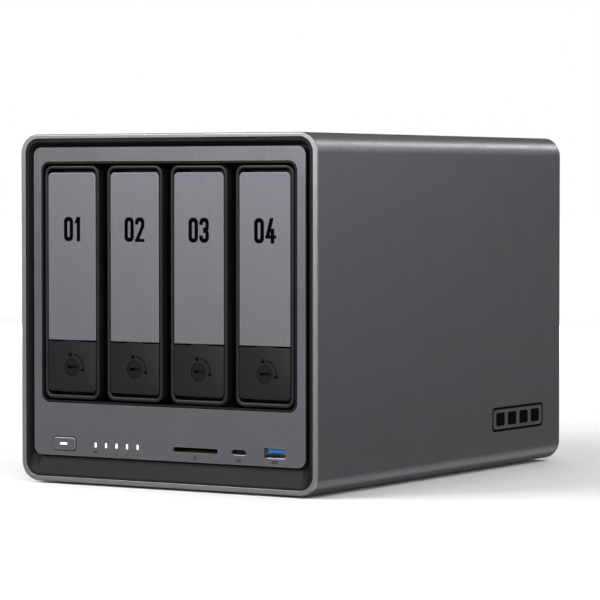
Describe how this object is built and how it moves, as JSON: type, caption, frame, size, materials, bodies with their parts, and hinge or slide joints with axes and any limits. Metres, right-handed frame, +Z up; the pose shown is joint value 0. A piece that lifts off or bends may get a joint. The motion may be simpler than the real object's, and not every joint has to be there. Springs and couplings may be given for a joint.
{
  "type": "nas enclosure",
  "caption": "Desktop drive enclosure: metal sleeve, front ports and power button, lockable slide-out drive trays with levers, rear fan under a pull-off mesh cover.",
  "frame": {"origin": "on the surface it stands on, under the middle of the enclosure", "axes": "+X right seen from the front, +Y from front to back, +Z up"},
  "size_m": [0.178, 0.257, 0.178],
  "materials": {
    "sleeve": "fine bead-blasted, anodised grey",
    "face_metal": "fine bead-blasted, anodised grey",
    "black_plastic": "fine moulded texture",
    "tray_plastic": "fine moulded texture",
    "lock_barrel": "satin",
    "connector_plastic": "moulded",
    "rubber_feet": "matte",
    "light_pipe": "frosted white",
    "bright_steel": "plated",
    "cage_steel": "black coated sheet",
    "circuit_board": "solder mask",
    "cooler_aluminium": "extruded, clear",
    "filter_mesh": "framed dust mesh"
  },
  "bodies": {
    "root": {"outer_sleeve": "sleeve", "bottom_cover": "sleeve", "foot_1": "rubber_feet", "foot_2": "rubber_feet", "foot_3": "rubber_feet", "foot_4": "rubber_feet", "front_bezel": "black_plastic", "face_plate": "face_metal", "status_light_pipe": "light_pipe", "card_reader": "bright_steel", "front_usb_c_socket": "bright_steel", "front_usb_a_socket": "bright_steel", "front_io_board": "circuit_board", "cage_floor": "cage_steel", "cage_roof": "cage_steel", "cage_side_left": "cage_steel", "cage_side_right": "cage_steel", "cage_divider_1": "cage_steel", "cage_divider_2": "cage_steel", "cage_divider_3": "cage_steel", "backplane_board": "circuit_board", "drive_connector_1": "connector_plastic", "drive_connector_2": "connector_plastic", "drive_connector_3": "connector_plastic", "drive_connector_4": "connector_plastic", "main_board": "circuit_board", "processor_cooler": "cooler_aluminium", "memory_module": "circuit_board", "solid_state_module": "circuit_board", "rear_panel": "black_plastic", "fan_frame": "black_plastic", "power_inlet": "black_plastic", "hdmi_socket": "bright_steel", "rear_usb_stack": "bright_steel", "lan_sockets": "bright_steel"},
    "power_button": {"power_button": "face_metal", "power_light": "light_pipe"},
    "reset_button": {"reset_button": "black_plastic"},
    "fan_rotor": {"fan_rotor": "black_plastic"},
    "fan_cover": {"fan_cover": "filter_mesh"},
    "tray_1": {"tray_1_carrier": "tray_plastic"},
    "lever_1": {"tray_1_lever": "tray_plastic", "tray_1_face": "face_metal"},
    "release_1": {"tray_1_release": "tray_plastic"},
    "lock_1": {"tray_1_lock": "lock_barrel"},
    "tray_2": {"tray_2_carrier": "tray_plastic"},
    "lever_2": {"tray_2_lever": "tray_plastic", "tray_2_face": "face_metal"},
    "release_2": {"tray_2_release": "tray_plastic"},
    "lock_2": {"tray_2_lock": "lock_barrel"},
    "tray_3": {"tray_3_carrier": "tray_plastic"},
    "lever_3": {"tray_3_lever": "tray_plastic", "tray_3_face": "face_metal"},
    "release_3": {"tray_3_release": "tray_plastic"},
    "lock_3": {"tray_3_lock": "lock_barrel"},
    "tray_4": {"tray_4_carrier": "tray_plastic"},
    "lever_4": {"tray_4_lever": "tray_plastic", "tray_4_face": "face_metal"},
    "release_4": {"tray_4_release": "tray_plastic"},
    "lock_4": {"tray_4_lock": "lock_barrel"}
  },
  "joints": [
    {"name": "power_button_press", "type": "slide", "parent": "root", "child": "power_button", "axis": [0, 1, 0], "range_m": [0, 0.001], "stiffness_N_per_m": 400},
    {"name": "reset_button_press", "type": "slide", "parent": "root", "child": "reset_button", "axis": [0, -1, 0], "range_m": [0, 0.0006], "stiffness_N_per_m": 400},
    {"name": "fan_spin", "type": "hinge", "parent": "root", "child": "fan_rotor", "pos_m": [0, 0.112, 0.104], "axis": [0, 1, 0], "continuous": true},
    {"name": "fan_cover_pull", "type": "slide", "parent": "root", "child": "fan_cover", "axis": [0, 1, 0], "range_m": [0, 0.06]},
    {"name": "tray_1_slide", "type": "slide", "parent": "root", "child": "tray_1", "axis": [0, -1, 0], "range_m": [0, 0.2]},
    {"name": "lever_1_swing", "type": "hinge", "parent": "tray_1", "child": "lever_1", "pos_m": [-0.05797, -0.1243, 0.1556], "axis": [-1, 0, 0], "range_deg": [0, 55]},
    {"name": "release_1_press", "type": "slide", "parent": "tray_1", "child": "release_1", "axis": [0, 1, 0], "range_m": [0, 0.002], "stiffness_N_per_m": 300},
    {"name": "lock_1_turn", "type": "hinge", "parent": "tray_1", "child": "lock_1", "pos_m": [-0.05797, -0.1245, 0.0596], "axis": [0, 1, 0], "range_deg": [0, 90]},
    {"name": "tray_2_slide", "type": "slide", "parent": "root", "child": "tray_2", "axis": [0, -1, 0], "range_m": [0, 0.2]},
    {"name": "lever_2_swing", "type": "hinge", "parent": "tray_2", "child": "lever_2", "pos_m": [-0.01932, -0.1243, 0.1556], "axis": [-1, 0, 0], "range_deg": [0, 55]},
    {"name": "release_2_press", "type": "slide", "parent": "tray_2", "child": "release_2", "axis": [0, 1, 0], "range_m": [0, 0.002], "stiffness_N_per_m": 300},
    {"name": "lock_2_turn", "type": "hinge", "parent": "tray_2", "child": "lock_2", "pos_m": [-0.01932, -0.1245, 0.0596], "axis": [0, 1, 0], "range_deg": [0, 90]},
    {"name": "tray_3_slide", "type": "slide", "parent": "root", "child": "tray_3", "axis": [0, -1, 0], "range_m": [0, 0.2]},
    {"name": "lever_3_swing", "type": "hinge", "parent": "tray_3", "child": "lever_3", "pos_m": [0.01932, -0.1243, 0.1556], "axis": [-1, 0, 0], "range_deg": [0, 55]},
    {"name": "release_3_press", "type": "slide", "parent": "tray_3", "child": "release_3", "axis": [0, 1, 0], "range_m": [0, 0.002], "stiffness_N_per_m": 300},
    {"name": "lock_3_turn", "type": "hinge", "parent": "tray_3", "child": "lock_3", "pos_m": [0.01932, -0.1245, 0.0596], "axis": [0, 1, 0], "range_deg": [0, 90]},
    {"name": "tray_4_slide", "type": "slide", "parent": "root", "child": "tray_4", "axis": [0, -1, 0], "range_m": [0, 0.2]},
    {"name": "lever_4_swing", "type": "hinge", "parent": "tray_4", "child": "lever_4", "pos_m": [0.05797, -0.1243, 0.1556], "axis": [-1, 0, 0], "range_deg": [0, 55]},
    {"name": "release_4_press", "type": "slide", "parent": "tray_4", "child": "release_4", "axis": [0, 1, 0], "range_m": [0, 0.002], "stiffness_N_per_m": 300},
    {"name": "lock_4_turn", "type": "hinge", "parent": "tray_4", "child": "lock_4", "pos_m": [0.05797, -0.1245, 0.0596], "axis": [0, 1, 0], "range_deg": [0, 90]}
  ]
}
